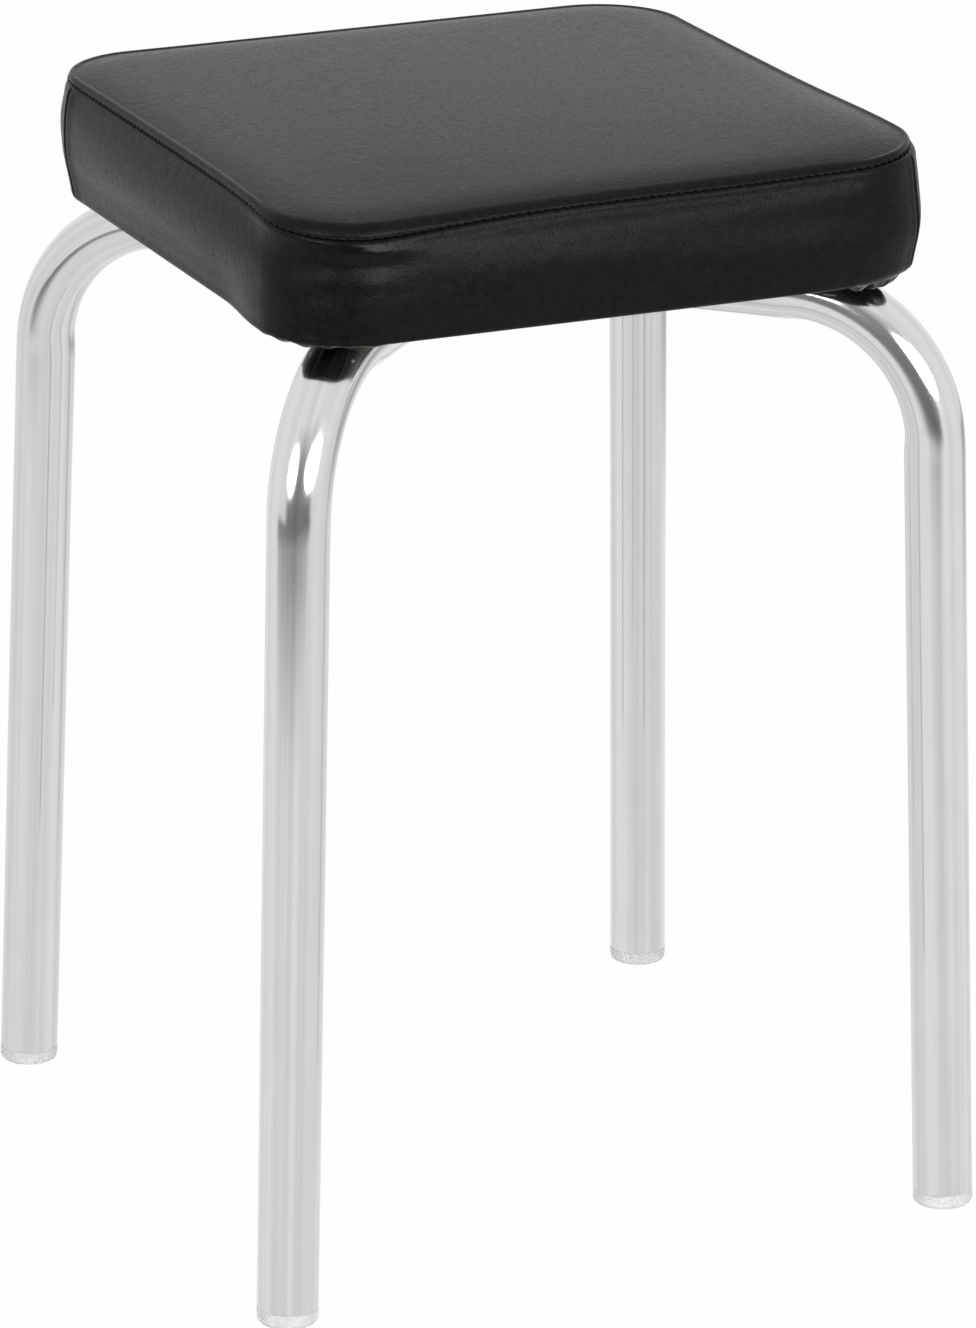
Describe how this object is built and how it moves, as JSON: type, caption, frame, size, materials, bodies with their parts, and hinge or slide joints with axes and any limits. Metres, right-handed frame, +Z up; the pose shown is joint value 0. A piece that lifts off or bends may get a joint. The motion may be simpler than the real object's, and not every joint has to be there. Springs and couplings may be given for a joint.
{
  "type": "stacking stool",
  "caption": "Square padded stool in black leatherette on a frame of bent chromed tube with splayed legs and plastic foot plugs; stands free and stacks.",
  "frame": {"origin": "on the floor, under the middle of the seat", "axes": "+Z up; the seat's sides face the X and Y axes, with the front at -Y, and the legs stand on its diagonals"},
  "size_m": [0.3232, 0.3232, 0.4557],
  "materials": {
    "chromed_tube": "polished chrome plate on steel tube",
    "clear_plastic": "milky translucent polyethylene",
    "plywood": "raw sanded plywood",
    "foam": "open-cell upholstery foam",
    "leatherette": "fine-grained satin leatherette",
    "zinc_steel": "zinc-plated steel",
    "black_plastic": "moulded nylon"
  },
  "bodies": {
    "root": {"leg_hoop": "chromed_tube", "front_left_leg": "chromed_tube", "back_right_leg": "chromed_tube", "crossing_welds": "chromed_tube", "foot_plug_front_left": "clear_plastic", "foot_plug_front_right": "clear_plastic", "foot_plug_back_left": "clear_plastic", "foot_plug_back_right": "clear_plastic", "seat_board": "plywood", "seat_foam": "foam", "cover_top_panel": "leatherette", "cover_band_front": "leatherette", "cover_band_back": "leatherette", "cover_staples": "zinc_steel", "seat_bolts": "zinc_steel", "saddle_washers": "black_plastic", "tee_nuts": "zinc_steel"}
  },
  "joints": []
}
